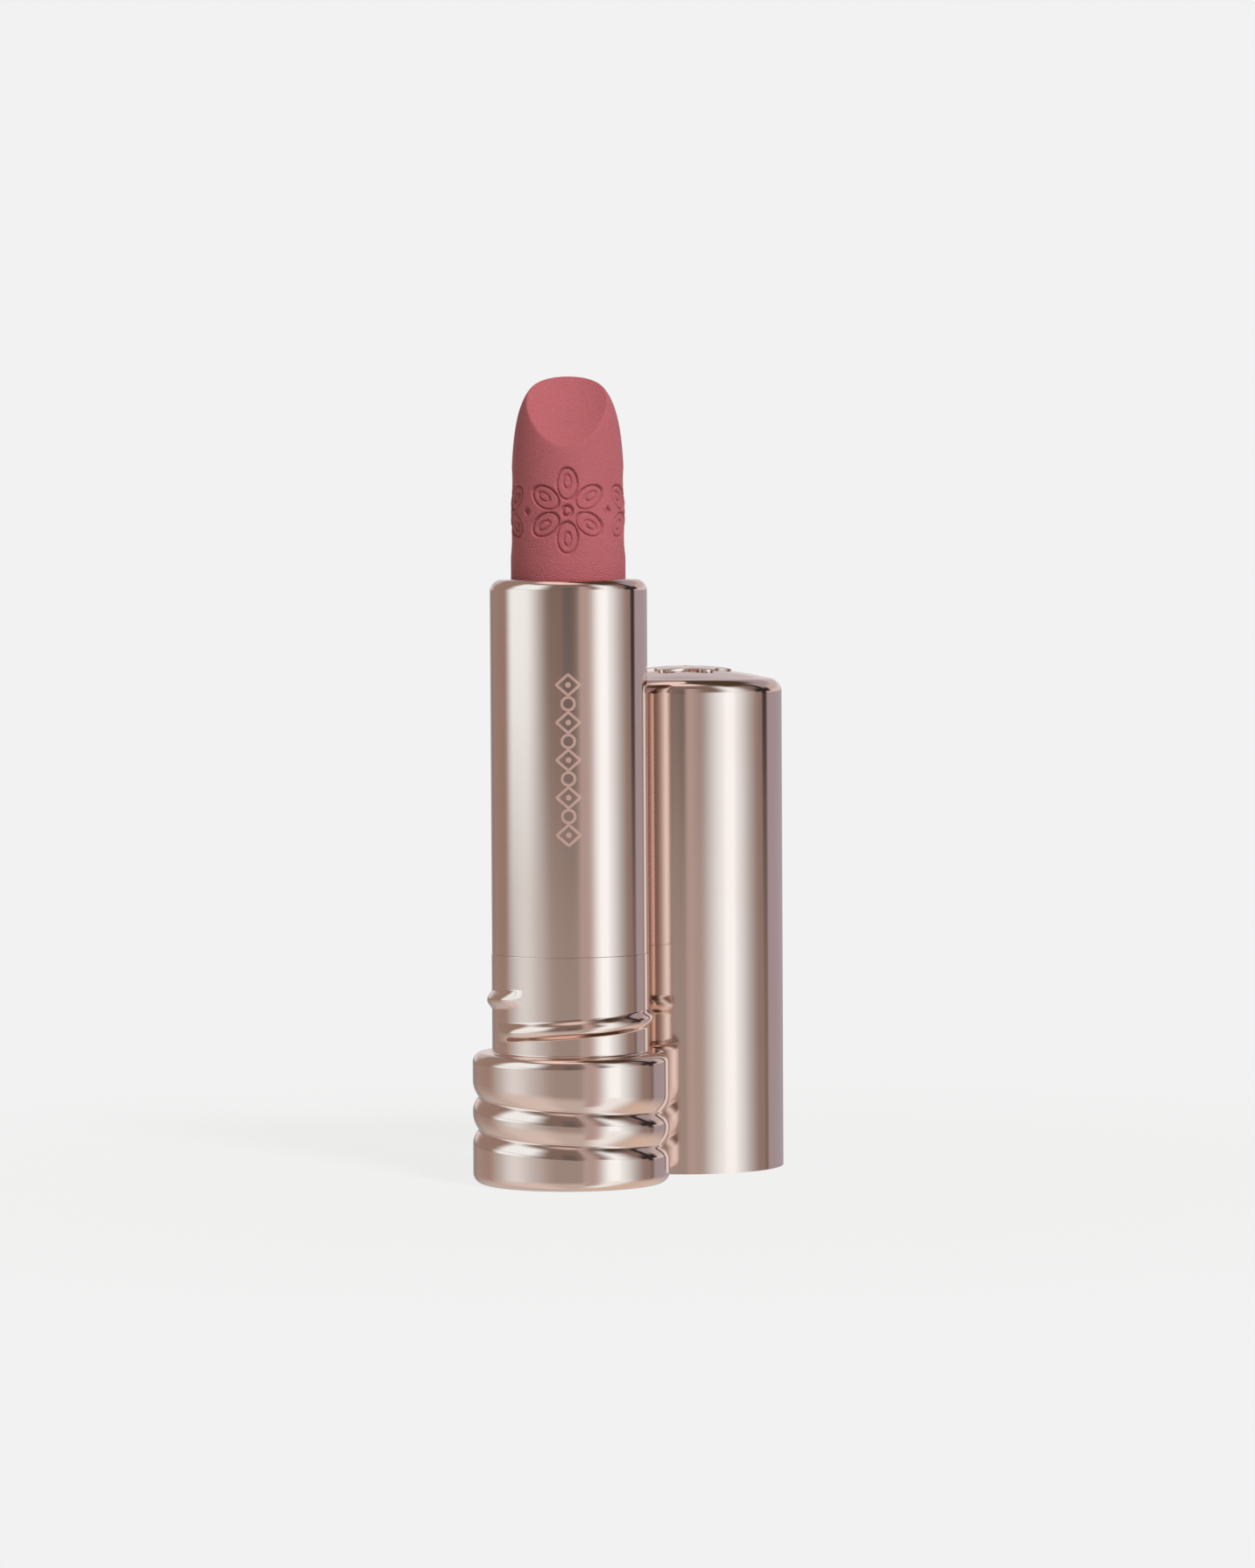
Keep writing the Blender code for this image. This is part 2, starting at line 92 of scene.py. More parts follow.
SHELL_RADIUS, SHELL_BORE = radius_of("a_shell"), 8.25 * MM
SHELL_FOOT, SHELL_TOP = floor_of("a_shell"), top_of("a_shell")
LIP_ROUND, LIP_INNER_ROUND = 1.25 * MM, 0.3 * MM
LIP_BORE, LIP_THICKNESS = 6.6 * MM, 0.75 * MM
SEAM_ROUND = 0.03 * MM              # broken edges where the upper tube meets the neck
HAIRLINE = 0.01 * MM                # gap between two turned pieces that meet
EDGE_ROW = 0.03 * MM                # first row in from the end of a straight wall

FOIL_FOOT, FOIL_PITCH, FOIL_LOZENGES = 38.9 * MM, 4.1 * MM, 5
FOIL_HALF_WIDTH, FOIL_STROKE, FOIL_THICKNESS = 1.3 * MM, 0.3 * MM, 0.03 * MM
LOZENGE_RISE, RING_RADIUS = 0.28, 0.17      # half height and radius, as shares of the pitch
DOT_RADIUS = 0.55                           # as a share of the stroke

BULLET_RADIUS = 6.33 * MM
BULLET_FOOT = floor_of("bullet")
BULLET_SIDES = 480
BULLET_EDGE = 0.1 * MM              # first row in from the ends of the bullet's plain side
NOSE_LENGTH, NOSE_APEX = 3.6 * MM, 89.8 * MM
NOSE_START = 88.5                   # degrees; the nose's outline runs from here to 0 at the apex
CUT_SLOPE, CUT_RADIUS = math.radians(44.0), 10.6 * MM
CUT_TOE_HEIGHT = 81.3 * MM
CUT_EDGE = 0.12 * MM                # softness of the cut's edge
BAND_HEIGHT, BAND_REACH = 74.3 * MM, 5.1 * MM
NOSE_GRID, BAND_GRID = 0.19 * MM, 0.09 * MM     # spacing of the rows on the nose and in the band

# The rosettes pressed into the band. An oval is its centre's distance out, half its length and
# half its width; a pressed line is its inner edge, outer edge and the softness of both.
ROSETTES, PETALS, ROSETTE_DEPTH = 4, 6, 0.32 * MM
PETAL_OVAL = (2.95 * MM, 1.9 * MM, 1.28 * MM)
SEED_OVAL = (3.15 * MM, 0.95 * MM, 0.52 * MM)
PETAL_LINE, SEED_LINE = (0.86, 0.95, 0.06), (0.62, 0.95, 0.14)      # as shares of the oval
HEART_LINE = (0.38 * MM, 0.66 * MM, 0.09 * MM)
PETAL_BED, BED_INNER, BED_OUTER = 0.45, 0.8, 0.9    # the petal's sunk floor: depth and edge
PIT_FLOOR, PIT_RIM = 0.42 * MM, 0.62 * MM           # the lozenge between two rosettes

CAP_LOW, CAP_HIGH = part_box("cap_shell")
CAP_RADIUS = radius_of("cap_shell")
CAP_CENTRE = Vector(((CAP_LOW.x + CAP_HIGH.x) / 2, (CAP_LOW.y + CAP_HIGH.y) / 2, 0))
CAP_WALL, CAP_ROUND, CAP_DOME_RISE = 0.65 * MM, 1.6 * MM, 1.15 * MM
CAP_ROUND_START = 84                # degrees; where the rounded edge takes over from the dome
CAP_SHOULDER = CAP_HIGH.z - CAP_ROUND - CAP_DOME_RISE
LINER_GAP, LINER_BORE = 0.1 * MM, 9.45 * MM
LINER_CEILING, LINER_TOP = 53.2 * MM, top_of("cap_liner")
LINER_MOUTH = floor_of("cap_liner")
LINER_RIDGE_DROP = 1.9 * MM         # from the neck's ridge down to the liner's, when closed

EMBLEM_RADIUS, EMBLEM_LOBE, EMBLEM_LOBES = 4.6 * MM, 0.6 * MM, 6
EMBLEM_THICKNESS, FIT_GAP = 0.3 * MM, 0.05 * MM
EMBLEM_SECTORS, EMBLEM_RINGS = 288, 56
EMBLEM_BED = 0.7                    # the valleys' height, as a share of the thickness
EMBLEM_BEAD, EMBLEM_PETAL = 0.17, 0.2       # where bead ends and petals start, as shares of the radius

# ---------------------------------------------------------------- small helpers


def add(tree, kind, inputs=None, **settings):
    """Add a node, set it, and link or fill its inputs; a node stands for its first output."""
    node = tree.nodes.new(kind)
    for key, value in settings.items():
        setattr(node, key, value)
    for key, value in (inputs or {}).items():
        if isinstance(value, bpy.types.Node):
            value = value.outputs[0]
        if isinstance(value, bpy.types.NodeSocket):
            tree.links.new(value, node.inputs[key])
        else:
            node.inputs[key].default_value = value
    return node


def linear(hex_colour):
    """A linear RGBA colour from an sRGB hex value."""
    parts = [int(hex_colour[i:i + 2], 16) / 255 for i in (1, 3, 5)]
    return (*[c / 12.92 if c <= 0.04045 else ((c + 0.055) / 1.055) ** 2.4 for c in parts], 1.0)


def arc(centre, radius, start, end, steps):
    """Points (r, z) on an arc; the angles are in degrees, from +r towards +z."""
    turns = np.radians(np.linspace(start, end, steps + 1))
    return [(centre[0] + radius * math.cos(a), centre[1] + radius * math.sin(a)) for a in turns]


def rows(radius, start, end, count):
    """Evenly spaced points (r, z) up a straight side."""
    return [(radius, z) for z in np.linspace(start, end, count + 1)]


def wall(radius, start, end):
    """Inner points of a straight wall, close to both ends so that it shades flat between them."""
    near = math.copysign(EDGE_ROW, end - start)
    return [(radius, z) for z in (start + near, start + 5 * near, end - 5 * near, end - near)]


def lathe(name, outline, closed, relief=None, sides=FINE, centre=(0, 0, 0), sharp=32):
    """Spin an outline of (r, z) points about an upright axis and shade it smooth.

    A relief is a function of angle, r and z that gives how far each point moves outwards.
    """
    outline = np.array(outline)
    angles = np.arange(sides) * TURN / sides
    r = np.repeat(outline[:, :1], sides, axis=1)
    z = np.repeat(outline[:, 1:], sides, axis=1)
    a = np.repeat(angles[None, :], len(outline), axis=0)
    if relief is not None:
        r = r + relief(a, r, z)
    points = np.stack([r * np.cos(a) + centre[0], r * np.sin(a) + centre[1], z + centre[2]], -1)
    count = len(outline)
    faces = []
    for i in range(count if closed else count - 1):
        k = (i + 1) % count
        for j in range(sides):
            n = (j + 1) % sides
            faces.append((i * sides + j, i * sides + n, k * sides + n, k * sides + j))
    mesh = bpy.data.meshes.new(name)
    mesh.from_pydata(points.reshape(-1, 3).tolist(), [], faces)
    return finished(name, mesh, sharp)


def clean(mesh, weld, sharp):
    """Weld a mesh, turn its faces outwards and shade it smooth up to a sharp angle in degrees."""
    bm = bmesh.new()
    bm.from_mesh(mesh)
    bmesh.ops.remove_doubles(bm, verts=bm.verts, dist=weld)
    bmesh.ops.dissolve_degenerate(bm, edges=bm.edges, dist=FINE_WELD)
    bmesh.ops.recalc_face_normals(bm, faces=bm.faces)
    bm.to_mesh(mesh)
    bm.free()
    mesh.shade_smooth()
    mesh.set_sharp_from_angle(angle=math.radians(sharp))


def linked(name, data):
    """A new object in the scene."""
    made = bpy.data.objects.new(name, data)
    bpy.context.scene.collection.objects.link(made)
    return made


def finished(name, mesh, sharp=32):
    """Clean a mesh and make it an object."""
    clean(mesh, WELD, sharp)
    return linked(name, mesh)


def place(piece, body, nodes, material):
    """Give a piece its finish, its body and the CAD nodes that it stands for."""
    piece.data.materials.clear()
    piece.data.materials.append(material)
    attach(piece, body)
    if nodes:
        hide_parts(*nodes)


# ---------------------------------------------------------------- camera


def make_camera():
    """A long lens, level with the upper tube's rim and tilted a little down."""
    distance, sideways, height = 0.6, 6.54 * MM, 66.77 * MM
    tilt_down, roll = 2.16, 0.3         # degrees
    camera = bpy.data.cameras.new("camera")
    camera.sensor_width, camera.lens = 36, 124.6
    camera.clip_start, camera.clip_end = 0.01, 50
    made = linked("camera", camera)
    made.location = (sideways, -distance, height)
    made.rotation_euler = (math.radians(90 - tilt_down), math.radians(roll), 0)
    bpy.context.scene.camera = made


make_camera()

# ---------------------------------------------------------------- geometry node helpers


def new_geometry_tree(name, sockets):
    """A geometry tree with a Geometry input and output, and an input for each named value."""
    tree = bpy.data.node_groups.new(name, "GeometryNodeTree")
    tree.interface.new_socket("Geometry", in_out="INPUT", socket_type="NodeSocketGeometry")
    for label, kind in sockets.items():
        tree.interface.new_socket(label, in_out="INPUT", socket_type="NodeSocket" + kind)
    tree.interface.new_socket("Geometry", in_out="OUTPUT", socket_type="NodeSocketGeometry")
    return tree


def grow(host, tree, values):
    """Run a geometry tree on an object and keep the result as its plain mesh."""
    modifier = host.modifiers.new(tree.name, "NODES")
    modifier.node_group = tree
    for item in tree.interface.items_tree:
        if item.item_type == "SOCKET" and item.in_out == "INPUT" and item.name in values:
            modifier[item.identifier] = values[item.name]
    graph = bpy.context.evaluated_depsgraph_get()
    made = bpy.data.meshes.new_from_object(host.evaluated_get(graph))
    host.modifiers.remove(modifier)
    host.data = made


# ---------------------------------------------------------------- materials


def new_material(name, low, high, size, detail):
    """A Principled material whose colour drifts between two tones in a cloud of the given size."""
    made = bpy.data.materials.new(name)
    made.use_nodes = True
    tree = made.node_tree
    tree.nodes.clear()
    shader = add(tree, "ShaderNodeBsdfPrincipled")
    add(tree, "ShaderNodeOutputMaterial", {"Surface": shader})
    place_on = add(tree, "ShaderNodeTexCoord").outputs["Object"]
    cloud = add(tree, "ShaderNodeTexNoise", {"Vector": place_on, "Scale": 1 / size, "Detail": detail})
    tint = add(tree, "ShaderNodeMix", {0: cloud, 6: linear(low), 7: linear(high)}, data_type="RGBA")
    tree.links.new(tint.outputs[2], shader.inputs["Base Color"])
    return made, tree, shader.inputs, cloud


def roughen(tree, look, size, detail, strength, depth):
    """Give a surface a fine noise relief of the given size and depth."""
    place_on = add(tree, "ShaderNodeTexCoord").outputs["Object"]
    noise = add(tree, "ShaderNodeTexNoise", {"Vector": place_on, "Scale": 1 / size, "Detail": detail})
    bump = add(tree, "ShaderNodeBump", {"Height": noise, "Strength": strength, "Distance": depth})
    tree.links.new(bump.outputs["Normal"], look["Normal"])


def metallised_lacquer():
    """Vacuum-metallised moulding under a tinted champagne lacquer.

    It mirrors soft cards with a faint orange-peel softness and deepens to copper where it
    sees itself.
    """
    made, tree, look, cloud = new_material("champagne_metallised_lacquer", "#E5C8BB", "#E9CFC4",
                                           11.1 * MM, 3.0)
    haze = add(tree, "ShaderNodeMapRange", {"Value": cloud, "From Min": 0.3, "From Max": 0.7,
                                            "To Min": 0.075, "To Max": 0.105})
    tree.links.new(haze.outputs["Result"], look["Roughness"])
    look["Metallic"].default_value = 1.0
    look["Coat Weight"].default_value = 0.5
    look["Coat Roughness"].default_value = 0.03
    # orange peel about 0.6 mm across, only a fraction of a micron high
    roughen(tree, look, 0.625 * MM, 2.0, 0.02, 0.02 * MM)
    return made


def pressed_wax():
    """Moulded matt lipstick wax: dusty rose, powdery, light bleeding a little under the skin."""
    made, tree, look, _ = new_material("dusty_rose_matt_wax", "#B6646D", "#C06C76", 6.25 * MM, 4.0)
    look["Roughness"].default_value = 0.62
    look["IOR"].default_value = 1.44
    look["Subsurface Weight"].default_value = 0.15
    look["Subsurface Radius"].default_value = (1.0, 0.35, 0.25)
    look["Subsurface Scale"].default_value = 0.25 * MM
    # pigment grain, far coarser than the real powder so that it shows
    roughen(tree, look, 0.1613 * MM, 1.0, 1.0, 0.11 * MM)
    return made


def foil_print():
    """Hot-stamped pink foil: a thin, slightly rougher and pinker skin than the lacquer."""
    made, _, look, _ = new_material("pink_hot_foil", "#E3B9AE", "#EFCBC2", 1.11 * MM, 3.0)
    look["Metallic"].default_value = 0.65
    look["Roughness"].default_value = 0.42
    return made


def moulded_plastic(name, low, high, roughness):
    """Injection-moulded acetal or ABS: waxy, with a faint spark-eroded texture."""
    made, tree, look, _ = new_material(name, low, high, 3.33 * MM, 3.0)
    look["Roughness"].default_value = roughness
    roughen(tree, look, 0.1667 * MM, 2.0, 0.1, 0.02 * MM)
    return made


def plated_steel():
    """Zinc-plated pressed steel: cool grey with a fine grain."""
    made, _, look, _ = new_material("zinc_plated_steel", "#AEB2B6", "#C6C9CC", 0.4 * MM, 4.0)
    look["Metallic"].default_value = 1.0
    look["Roughness"].default_value = 0.35
    return made


def coated_label():
    """Coated sticker paper, blank: a smooth sheet with a faint fibre cloud."""
    made, _, look, _ = new_material("coated_label_paper", "#D8C9C2", "#E4D7D0", 0.556 * MM, 6.0)
    look["Roughness"].default_value = 0.5
    return made


LACQUER = metallised_lacquer()
WAX = pressed_wax()
FOIL = foil_print()
WHITE_ACETAL = moulded_plastic("white_acetal", "#E6E4DF", "#EFEEEA", 0.38)
IVORY_ABS = moulded_plastic("ivory_abs", "#DDD3C4", "#E6DDD0", 0.42)
RUBBER = moulded_plastic("black_nitrile_rubber", "#1B1B1C", "#232324", 0.65)
STEEL = plated_steel()
PAPER = coated_label()

# ---------------------------------------------------------------- relief of the turned pieces


def ease(t):
    """Smooth step from 0 to 1."""
    t = np.clip(t, 0.0, 1.0)
    return t * t * (3 - 2 * t)


def helix_passes(angle, start, turns):
    """For each pass of a helix over an angle: how far it has turned, and whether it exists."""
    first = np.mod(angle - start, TURN)
    for k in range(int(turns) + 2):
        turned_by = first + TURN * k
        yield turned_by, turned_by <= turns * TURN


def groove_relief(angle, r, z):
    """The base's left-handed groove: a crease with rounded shoulders."""
    depth = np.zeros_like(z)
    for turned_by, real in helix_passes(angle, GROOVE_START, GROOVE_TURNS):
        above = z - (GROOVE_TOP - GROOVE_PITCH * turned_by / TURN)
        reach = np.where(above > 0, GROOVE_UPPER_ROUND, GROOVE_LOWER_ROUND)
        away = np.hypot(above, CREASE_ROUND) - CREASE_ROUND
        crease = np.clip(1 - away / reach, 0, 1) ** 2
        edge = np.minimum(turned_by, GROOVE_TURNS * TURN - turned_by)
        depth = np.where(real, np.maximum(depth, crease * ease(edge / GROOVE_FADE)), depth)
    outside = r > BASE_RADIUS - 2 * GROOVE_DEPTH
    return np.where(outside, -GROOVE_DEPTH * depth, 0.0)


def ridge_height(angle, z, start_height):
    """0 to 1 across the round back of a right-handed thread ridge, with a soft foot."""
    height = np.zeros_like(z)
    for turned_by, real in helix_passes(angle, THREAD_START, THREAD_TURNS):
        off = np.abs(z - start_height - THREAD_PITCH * turned_by / TURN) / THREAD_FOOT_WIDTH
        bump = np.clip(1 - off * off, 0, 1) ** 1.5
        edge = np.minimum(turned_by, THREAD_TURNS * TURN - turned_by)
        height = np.where(real, np.maximum(height, bump * ease(edge / THREAD_FADE)), height)
    return height


def neck_relief(angle, r, z):
    """The neck's ridge, on its outer side only."""
    ridge = THREAD_HEIGHT * ridge_height(angle, z, THREAD_START_HEIGHT)
    return np.where(r > NECK_RADIUS - FIT_GAP, ridge, 0.0)


def dome_height(r):
    """Height of the cap's crowned top."""
    flat = CAP_RADIUS - CAP_ROUND
    return CAP_SHOULDER + CAP_ROUND + CAP_DOME_RISE * (1 - (r / flat) ** 2)


# ---------------------------------------------------------------- pieces


def make_base():
    """Cup-shaped base with a rounded foot and shoulder and the winding groove."""
    recess, shoulder = LABEL_RADIUS + LABEL_CLEARANCE, BASE_HEIGHT - SHOULDER_ROUND
    seat = BASE_HEIGHT - BASE_SEAT
    outline = [(0, LABEL_RECESS), (recess, LABEL_RECESS), (recess, 0)]
    outline += arc((BASE_RADIUS - FOOT_ROUND, FOOT_ROUND), FOOT_ROUND, -90, 0, 20)
    outline += rows(BASE_RADIUS, FOOT_ROUND, shoulder, GROOVE_ROWS)[1:-1]
    outline += arc((BASE_RADIUS - SHOULDER_ROUND, shoulder), SHOULDER_ROUND, 0, 90, 18)
    outline += arc((NECK_RADIUS + NECK_SWEEP, BASE_HEIGHT + NECK_SWEEP), NECK_SWEEP, -90, -175, 10)
    outline += [(NECK_RADIUS + HAIRLINE, seat), (BASE_BORE, seat), (BASE_BORE, BASE_FLOOR), (0, BASE_FLOOR)]
    made = lathe("base_outer_shell", outline, False, groove_relief, sharp=60)
    place(made, "base", ["base_shell"], LACQUER)


def make_label():
    """Round sticker in the base's recess."""
    outline = [(0, 0), (LABEL_RADIUS, 0), (LABEL_RADIUS, LABEL_THICKNESS), (0, LABEL_THICKNESS)]
    made = lathe("blank_base_label", outline, False, sides=128)
    place(made, "base", ["shade_label"], PAPER)


def make_neck():
    """Neck with the ridge that the cap screws on."""
    low = THREAD_START_HEIGHT - THREAD_MARGIN
    high = THREAD_START_HEIGHT + THREAD_TURNS * THREAD_PITCH + THREAD_MARGIN
    top = SHELL_FOOT - HAIRLINE
    outline = [(NECK_BORE, NECK_FOOT), (NECK_RADIUS, NECK_FOOT)]
    outline += wall(NECK_RADIUS, NECK_FOOT, low) + rows(NECK_RADIUS, low, high, THREAD_ROWS)
    outline += wall(NECK_RADIUS, high, top - SEAM_ROUND)
    outline += arc((NECK_RADIUS - SEAM_ROUND, top - SEAM_ROUND), SEAM_ROUND, 0, 90, 4)
    outline += [(NECK_BORE, top)]
    made = lathe("threaded_neck", outline, True, neck_relief, sharp=70)
    place(made, "base", ["neck_collar"], LACQUER)


def make_upper_tube():
    """Plain tube with a rounded lip that turns in over the bullet's mouth."""
    inner, ceiling = LIP_INNER_ROUND, SHELL_TOP - LIP_THICKNESS
    outline = [(SHELL_BORE, SHELL_FOOT)]
    outline += arc((SHELL_RADIUS - SEAM_ROUND, SHELL_FOOT + SEAM_ROUND), SEAM_ROUND, -90, 0, 4)
    outline += wall(SHELL_RADIUS, SHELL_FOOT + SEAM_ROUND, SHELL_TOP - LIP_ROUND)
    outline += arc((SHELL_RADIUS - LIP_ROUND, SHELL_TOP - LIP_ROUND), LIP_ROUND, 0, 90, 24)
    outline += arc((LIP_BORE + inner, SHELL_TOP - inner), inner, 90, 180, 8)
    outline += [(LIP_BORE, ceiling), (SHELL_BORE, ceiling)]
    made = lathe("upper_tube_shell", outline, True)
    place(made, "upper_tube", ["a_shell"], LACQUER)


def make_cap():
    """Straight cap with a rounded edge and a crowned top."""
    flat, inner = CAP_RADIUS - CAP_ROUND, CAP_RADIUS - CAP_WALL
    ceiling = dome_height(flat) - CAP_WALL
    outline = [(r, dome_height(r)) for r in np.linspace(0, flat, 24)]
    outline += arc((flat, CAP_SHOULDER), CAP_ROUND, CAP_ROUND_START, 0, 24)
    outline += wall(CAP_RADIUS, CAP_SHOULDER, 0)
    outline += [(CAP_RADIUS, 0), (inner, 0), (inner, CAP_SHOULDER), (flat - CAP_WALL, ceiling), (0, ceiling)]
    made = lathe("cap_outer_shell", outline, False, centre=CAP_CENTRE)
    place(made, "cap", ["cap_shell"], LACQUER)


def make_liner():
    """Inner cap, with the ridge in its bore that engages the neck's."""
    start = THREAD_START_HEIGHT - LINER_RIDGE_DROP - BASE_HEIGHT + THREAD_PITCH / 2
    radius = CAP_RADIUS - CAP_WALL - LINER_GAP
    low, high = start - THREAD_HALF_WIDTH, start + THREAD_TURNS * THREAD_PITCH + THREAD_HALF_WIDTH

    def relief(angle, r, z):
        bore = np.abs(r - LINER_BORE) < FIT_GAP
        return np.where(bore, -THREAD_HEIGHT * ridge_height(angle, z, start), 0.0)

    outline = [(0, LINER_TOP), (radius, LINER_TOP), (radius, LINER_MOUTH), (LINER_BORE, LINER_MOUTH)]
    outline += rows(LINER_BORE, low, high, LINER_ROWS)
    outline += [(LINER_BORE, LINER_CEILING), (0, LINER_CEILING)]
    made = lathe("cap_inner_liner", outline, False, relief, sides=192, centre=CAP_CENTRE, sharp=60)
    place(made, "cap", ["cap_liner"], IVORY_ABS)


def nose_outline():
    """Points (r, z) down the nose from its apex, with the run along it, evenly fine."""
    samples = 4000                  # far finer than the rows that are read from it
    t = np.linspace(0, math.radians(NOSE_START), samples)
    r = BULLET_RADIUS * np.sin(t)
    z = NOSE_APEX + 2 * NOSE_LENGTH * np.log(np.cos(t))
    run = np.concatenate([[0], np.cumsum(np.hypot(np.diff(r), np.diff(z)))])
    return r, z, run


def press_cut(mesh):
    """Push the nose down onto the hollow slanted cut, with a softly rounded edge."""
    points = np.empty(len(mesh.vertices) * 3)
    mesh.vertices.foreach_get("co", points)
    points = points.reshape(-1, 3)
    off_slope = np.array([0, -math.sin(CUT_SLOPE), math.cos(CUT_SLOPE)])
    toe_radius = BULLET_RADIUS * math.sqrt(1 - math.exp((CUT_TOE_HEIGHT - NOSE_APEX) / NOSE_LENGTH))
    lift = (points - np.array([0, -toe_radius, CUT_TOE_HEIGHT])) @ off_slope
    hollow = CUT_RADIUS - np.sqrt(np.clip(CUT_RADIUS ** 2 - points[:, 0] ** 2, 0, None))
    pressed = CUT_EDGE * np.logaddexp(0, (lift - hollow) / CUT_EDGE)
    pressed[points[:, 2] < BAND_HEIGHT + BAND_REACH] = 0
    points -= pressed[:, None] * off_slope
    mesh.vertices.foreach_set("co", points.reshape(-1))
    mesh.update()


def make_bullet():
    """Ogive stick of wax with a hollow slanted cut and a pressed band of rosettes."""
    r, z, run = nose_outline()
    band_top = np.interp(-(BAND_HEIGHT + BAND_REACH), -z, run)
    band_foot = np.interp(-(BAND_HEIGHT - BAND_REACH), -z, run)
    steps = np.concatenate([np.arange(0, band_top, NOSE_GRID), np.arange(band_top, band_foot, BAND_GRID)])
    outline = [(np.interp(s, run, r), np.interp(s, run, z)) for s in steps]
    for height in (BAND_HEIGHT - BAND_REACH - BULLET_EDGE, BULLET_FOOT + BULLET_EDGE, BULLET_FOOT):
        outline.append((BULLET_RADIUS, height))
    outline.append((0, BULLET_FOOT))
    made = lathe("bullet_of_wax", outline, False, sides=BULLET_SIDES, sharp=50)
    press_cut(made.data)
    grow(made, rosette_tree(), {
        "Bullet Radius": BULLET_RADIUS, "Band Height": BAND_HEIGHT, "Rosettes": ROSETTES,
        "Petals": PETALS, "Depth": ROSETTE_DEPTH, "Material": WAX})
    made.data.shade_smooth()
    place(made, "carrier", ["bullet"], WAX)


